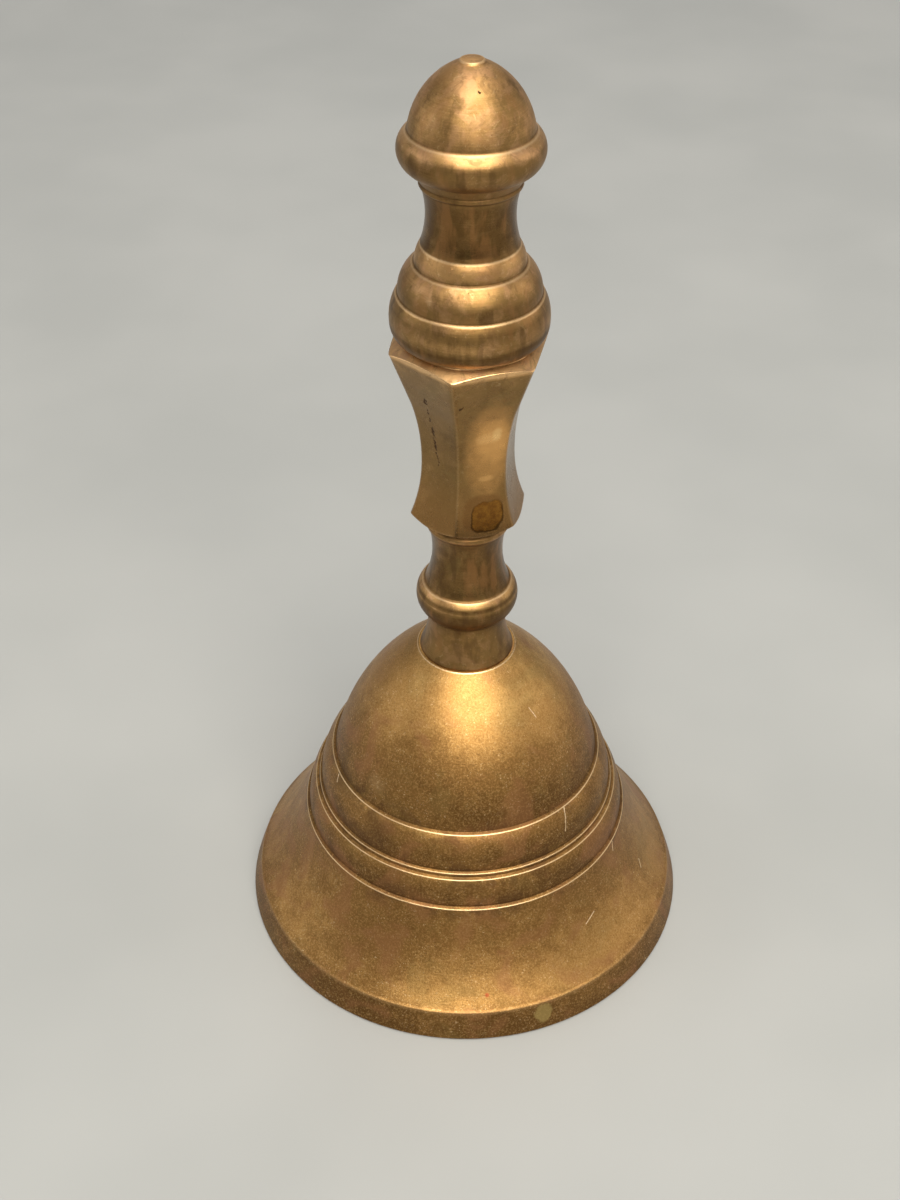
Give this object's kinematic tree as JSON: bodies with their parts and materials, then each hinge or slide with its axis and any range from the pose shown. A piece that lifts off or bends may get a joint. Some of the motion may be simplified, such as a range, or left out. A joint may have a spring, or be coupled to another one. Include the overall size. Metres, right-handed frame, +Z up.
{
  "type": "hand bell",
  "caption": "Brass table bell with a ringed flaring shell, a waisted hexagonal grip under a beehive knop and finial, and a clapper hung inside on a wire link.",
  "frame": {"origin": "centre of the rim circle, in the plane the bell stands on", "axes": "+Z up the bell's axis towards the finial; -Y faces a front corner of the hexagonal grip; the clapper's main swing is in the XZ plane"},
  "size_m": [0.076, 0.076, 0.1505],
  "materials": {
    "shell_brass": "satin aged",
    "handle_brass": "polished aged",
    "steel_fittings": "satin",
    "clapper_brass": "turned"
  },
  "bodies": {
    "bell": {"bell_body": "shell_brass", "handle": "handle_brass", "eye_bolt": "steel_fittings", "crown_washer": "steel_fittings", "lock_nut": "steel_fittings"},
    "link": {"clapper_link": "steel_fittings"},
    "clapper": {"clapper_rod": "steel_fittings", "clapper_ball": "clapper_brass"}
  },
  "joints": [
    {"name": "link_swing", "type": "hinge", "parent": "bell", "child": "link", "pos_m": [0, 0, 0.037], "axis": [0, 1, 0], "range_deg": [-40, 40]},
    {"name": "clapper_swing", "type": "hinge", "parent": "link", "child": "clapper", "pos_m": [0, 0, 0.0318], "axis": [1, 0, 0], "range_deg": [-16, 16]}
  ]
}
